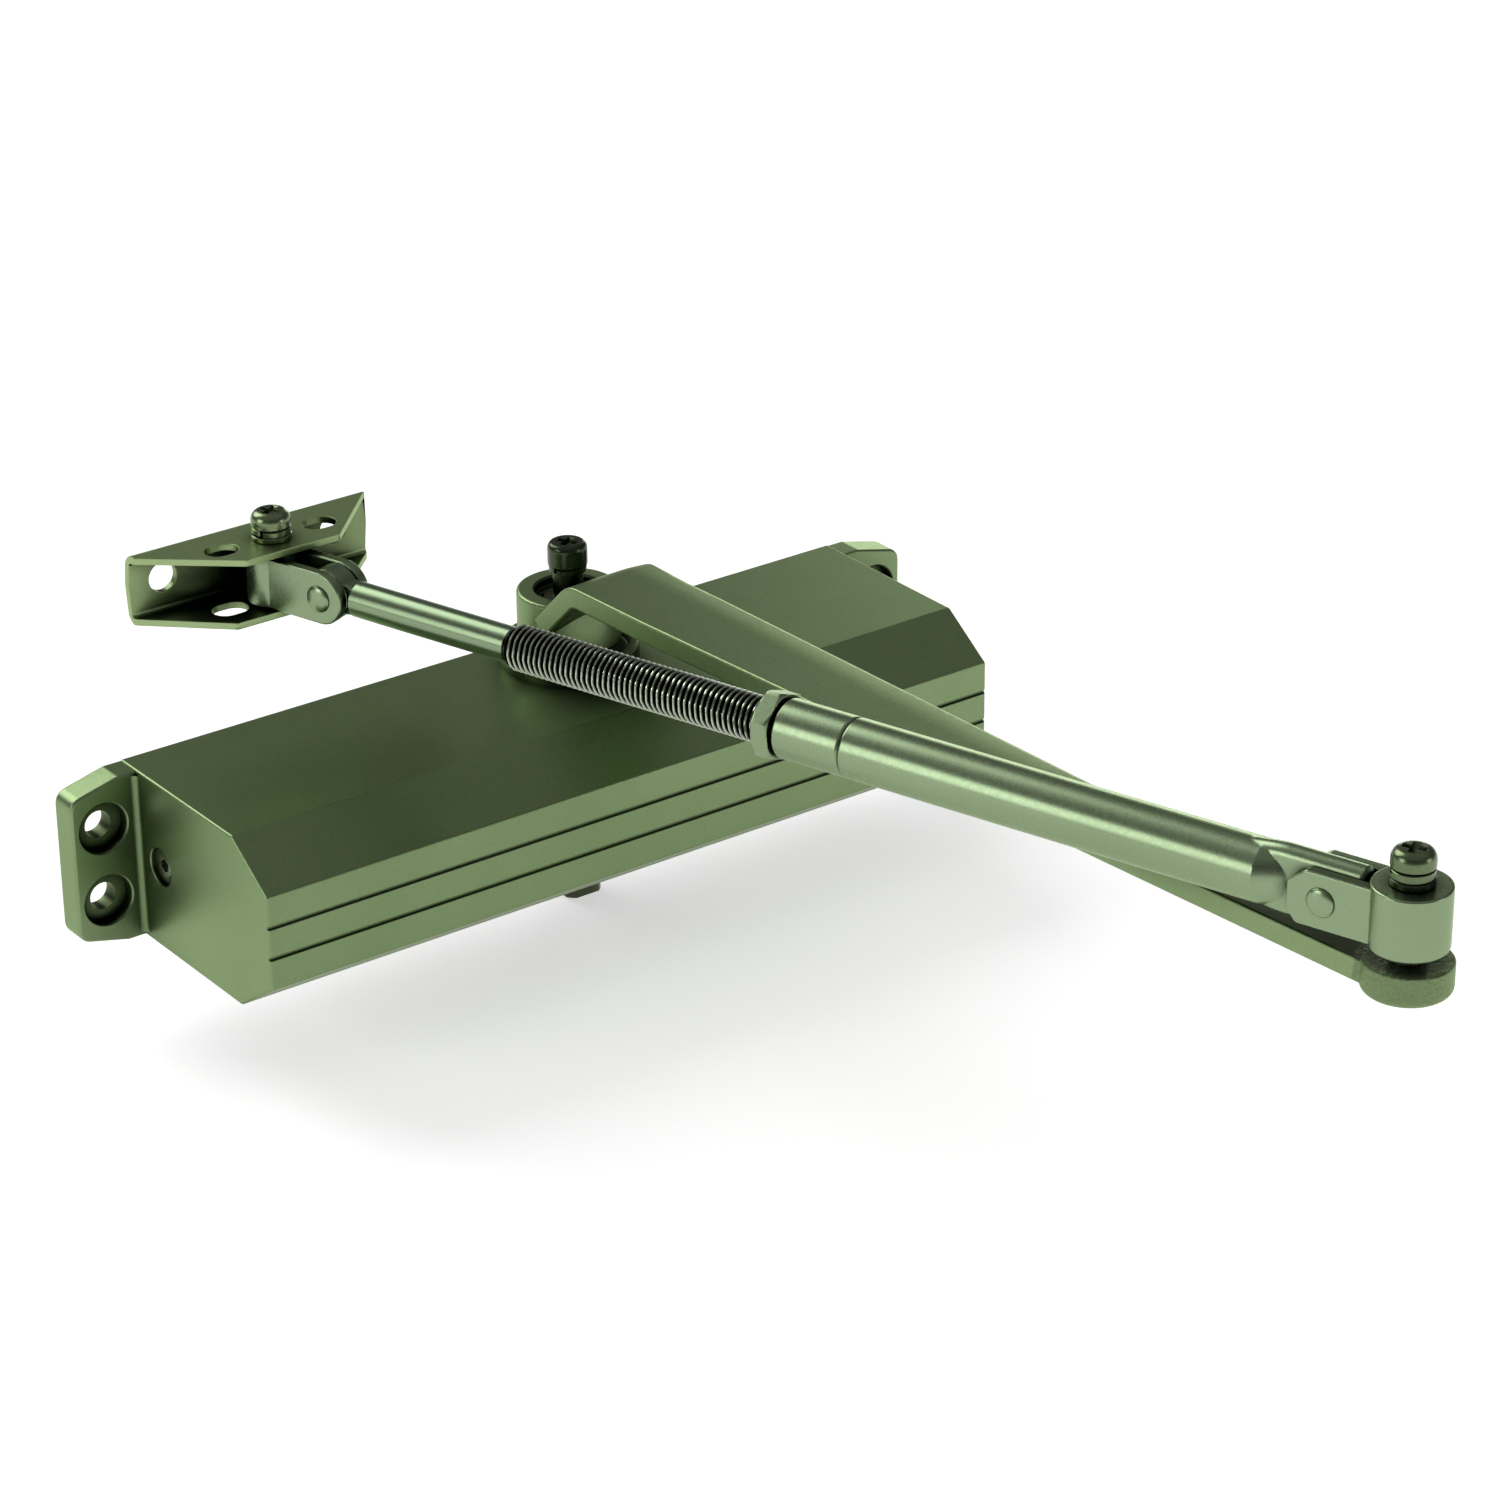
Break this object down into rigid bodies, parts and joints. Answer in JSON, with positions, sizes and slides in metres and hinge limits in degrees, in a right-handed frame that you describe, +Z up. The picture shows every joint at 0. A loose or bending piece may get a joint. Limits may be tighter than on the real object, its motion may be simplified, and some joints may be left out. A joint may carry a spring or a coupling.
{
  "type": "door closer",
  "caption": "Hydraulic door closer: chamfered bar-shaped body with lugs, cranked main arm, threaded adjustable forearm and bent foot bracket.",
  "frame": {"origin": "centre of the body's back face, which is the centre of its four screw holes", "axes": "+X along the body towards the plugged end, +Y towards the door, +Z up along the spindle towards the arm"},
  "size_m": [0.2494, 0.3158, 0.1202],
  "materials": {
    "body_paint": "satin bronze paint",
    "arm_paint": "satin bronze paint",
    "forearm_paint": "satin metallic bronze",
    "screw_steel": "dark bronze plating",
    "spindle_steel": "hardened, dark",
    "bright_steel": "ground",
    "valve_metal": "turned",
    "spring_steel": "oiled spring steel",
    "piston_steel": "ground and milled",
    "seal_rubber": "moulded"
  },
  "bodies": {
    "closer_body": {"housing": "body_paint", "top_gland_cap": "body_paint", "bottom_gland_cap": "body_paint", "upper_needle_bearing": "bright_steel", "lower_needle_bearing": "bright_steel", "upper_shaft_seal": "seal_rubber", "lower_shaft_seal": "seal_rubber", "upper_gland_ring": "seal_rubber", "lower_gland_ring": "seal_rubber", "end_plug": "body_paint", "end_plug_ring": "seal_rubber", "adjuster_ring": "seal_rubber"},
    "arm": {"pinion_spindle": "spindle_steel", "main_arm": "arm_paint", "arm_spring_washer": "screw_steel", "arm_screw": "screw_steel", "elbow_screw": "screw_steel", "elbow_washer": "screw_steel", "elbow_spring_washer": "screw_steel"},
    "piston": {"piston": "piston_steel", "piston_ring_left": "spring_steel", "piston_ring_right": "spring_steel", "check_ball": "bright_steel", "check_retainer": "bright_steel"},
    "spring_seat": {"spring_seat": "bright_steel", "main_spring": "spring_steel"},
    "power_adjuster": {"adjuster_screw": "bright_steel"},
    "sweep_valve": {"sweep_valve": "valve_metal", "sweep_valve_ring": "seal_rubber"},
    "latch_valve": {"latch_valve": "valve_metal", "latch_valve_ring": "seal_rubber"},
    "elbow": {"elbow_knuckle": "forearm_paint", "elbow_bush": "bright_steel", "elbow_rivet": "forearm_paint"},
    "forearm": {"forearm_tube": "forearm_paint", "thread_bush": "forearm_paint"},
    "rod": {"adjusting_rod": "forearm_paint"},
    "lock_nut": {"lock_nut": "forearm_paint"},
    "shoe": {"shoe_knuckle": "forearm_paint", "shoe_rivet": "forearm_paint", "pivot_bush": "bright_steel"},
    "foot": {"foot_bracket": "arm_paint", "pivot_screw": "screw_steel", "pivot_washer": "screw_steel", "pivot_spring_washer": "screw_steel"}
  },
  "joints": [
    {"name": "spindle_turn", "type": "hinge", "parent": "closer_body", "child": "arm", "pos_m": [0.012, -0.0182, 0], "axis": [0, 0, 1], "range_deg": [0, 170], "stiffness_Nm_per_rad": 4, "springref_deg": -68.75},
    {"name": "piston_slide", "type": "slide", "parent": "closer_body", "child": "piston", "axis": [1, 0, 0], "range_m": [0, 0.0223], "deforming": ["main_spring"]},
    {"name": "adjuster_turn", "type": "hinge", "parent": "closer_body", "child": "power_adjuster", "pos_m": [0.10665, -0.0257, 0], "axis": [1, 0, 0], "range_deg": [-721, 721]},
    {"name": "spring_seat_slide", "type": "slide", "parent": "closer_body", "child": "spring_seat", "axis": [1, 0, 0], "range_m": [-0.003, 0.003]},
    {"name": "sweep_valve_turn", "type": "hinge", "parent": "closer_body", "child": "sweep_valve", "pos_m": [-0.10665, -0.017, 0], "axis": [1, 0, 0], "range_deg": [-360, 360]},
    {"name": "latch_valve_turn", "type": "hinge", "parent": "closer_body", "child": "latch_valve", "pos_m": [0.10665, -0.054, 0], "axis": [1, 0, 0], "range_deg": [-360, 360]},
    {"name": "elbow_turn", "type": "hinge", "parent": "arm", "child": "elbow", "pos_m": [0.02871, -0.29868, 0.0614], "axis": [0, 0, 1], "range_deg": [-3, 150]},
    {"name": "elbow_tilt", "type": "hinge", "parent": "elbow", "child": "forearm", "pos_m": [0.02332, -0.28177, 0.0614], "axis": [0.9528, 0.3035, 0], "range_deg": [-0.5, 4]},
    {"name": "rod_length", "type": "slide", "parent": "forearm", "child": "rod", "axis": [-0.3035, 0.9528, 0], "range_m": [-0.025, 0.025]},
    {"name": "lock_nut_run", "type": "slide", "parent": "forearm", "child": "lock_nut", "axis": [-0.3035, 0.9528, 0], "range_m": [0, 0.02]},
    {"name": "shoe_tilt", "type": "hinge", "parent": "rod", "child": "shoe", "pos_m": [-0.05892, -0.0236, 0.0614], "axis": [0.9528, 0.3035, 0], "range_deg": [-12, 12]},
    {"name": "foot_swivel", "type": "hinge", "parent": "shoe", "child": "foot", "pos_m": [-0.06459, -0.00579, 0.0614], "axis": [0, 0, 1], "range_deg": [-60, 95]}
  ],
  "couplings": [
    {"joint": "piston_slide", "follows": "spindle_turn", "m_per_rad": 0.0075},
    {"joint": "adjuster_turn", "follows": "spring_seat_slide", "rad_per_m": -4188.8}
  ]
}
